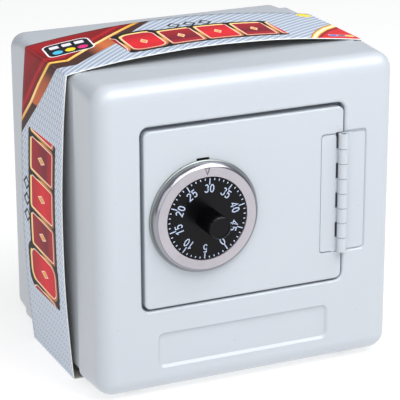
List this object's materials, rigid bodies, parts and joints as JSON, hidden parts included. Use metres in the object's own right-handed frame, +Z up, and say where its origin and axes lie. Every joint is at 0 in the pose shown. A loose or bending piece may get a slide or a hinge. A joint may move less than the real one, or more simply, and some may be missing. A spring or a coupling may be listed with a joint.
{
  "type": "toy safe coin bank",
  "caption": "Toy safe coin bank in painted sheet steel with a hinged door, a dial combination lock, a coin slot in the back and a printed card sleeve round the body.",
  "frame": {"origin": "on the surface that the safe stands on, under the middle of its overall box", "axes": "+Z up, -Y out of the door, +X towards the hinge"},
  "size_m": [0.1596, 0.1418, 0.1562],
  "materials": {
    "shell_paint": "smooth baked enamel, light grey-blue",
    "bezel_metal": "polished bevel with a satin face",
    "dial_plastic": "moulded, satin",
    "steel": "bright zinc plate",
    "lock_plastic": "moulded, fine texture",
    "wheel_plastic": "natural nylon",
    "foot_rubber": "moulded rubber",
    "sleeve_card": "printed and varnished board"
  },
  "bodies": {
    "safe_body": {"front_shell": "shell_paint", "body_wrap": "shell_paint", "rear_cover": "shell_paint", "coin_hood": "lock_plastic", "hood_rivets": "lock_plastic", "strike_plate": "steel", "front_feet": "foot_rubber", "rear_feet": "foot_rubber", "hinge_frame_leaf": "shell_paint", "hinge_pin": "steel"},
    "door": {"door_panel": "shell_paint", "door_backplate": "shell_paint", "hinge_door_leaf": "shell_paint", "dial_ring": "bezel_metal", "spindle_bush": "wheel_plastic", "wheel_spacer": "steel", "lock_case": "lock_plastic", "lock_cover": "lock_plastic", "case_screws": "steel", "bolt_spring": "steel"},
    "dial": {"dial_disc": "dial_plastic", "dial_knob": "dial_plastic", "spindle": "steel", "drive_cam": "wheel_plastic", "spindle_clip": "steel"},
    "front_wheel": {"front_wheel": "wheel_plastic"},
    "rear_wheel": {"rear_wheel": "wheel_plastic"},
    "bolt": {"latch_bolt": "steel"},
    "sleeve": {"card_sleeve": "sleeve_card"}
  },
  "joints": [
    {"name": "door_hinge", "type": "hinge", "parent": "safe_body", "child": "door", "pos_m": [0.0475, -0.05355, 0.0874], "axis": [0, 0, 1], "range_deg": [0, 165]},
    {"name": "dial_spin", "type": "hinge", "parent": "door", "child": "dial", "pos_m": [-0.0233, -0.0522, 0.0861], "axis": [0, -1, 0], "continuous": true},
    {"name": "front_wheel_spin", "type": "hinge", "parent": "door", "child": "front_wheel", "pos_m": [-0.0233, -0.0522, 0.0861], "axis": [0, -1, 0], "continuous": true},
    {"name": "rear_wheel_spin", "type": "hinge", "parent": "door", "child": "rear_wheel", "pos_m": [-0.0233, -0.0522, 0.0861], "axis": [0, -1, 0], "continuous": true},
    {"name": "bolt_slide", "type": "slide", "parent": "door", "child": "bolt", "axis": [-1, 0, 0], "range_m": [0, 0.006], "deforming": ["bolt_spring"]},
    {"name": "sleeve_slide", "type": "slide", "parent": "safe_body", "child": "sleeve", "axis": [0, 1, 0], "range_m": [0, 0.095]}
  ],
  "couplings": [
    {"joint": "front_wheel_spin", "follows": "dial_spin", "ratio": 1},
    {"joint": "rear_wheel_spin", "follows": "dial_spin", "ratio": 1}
  ]
}
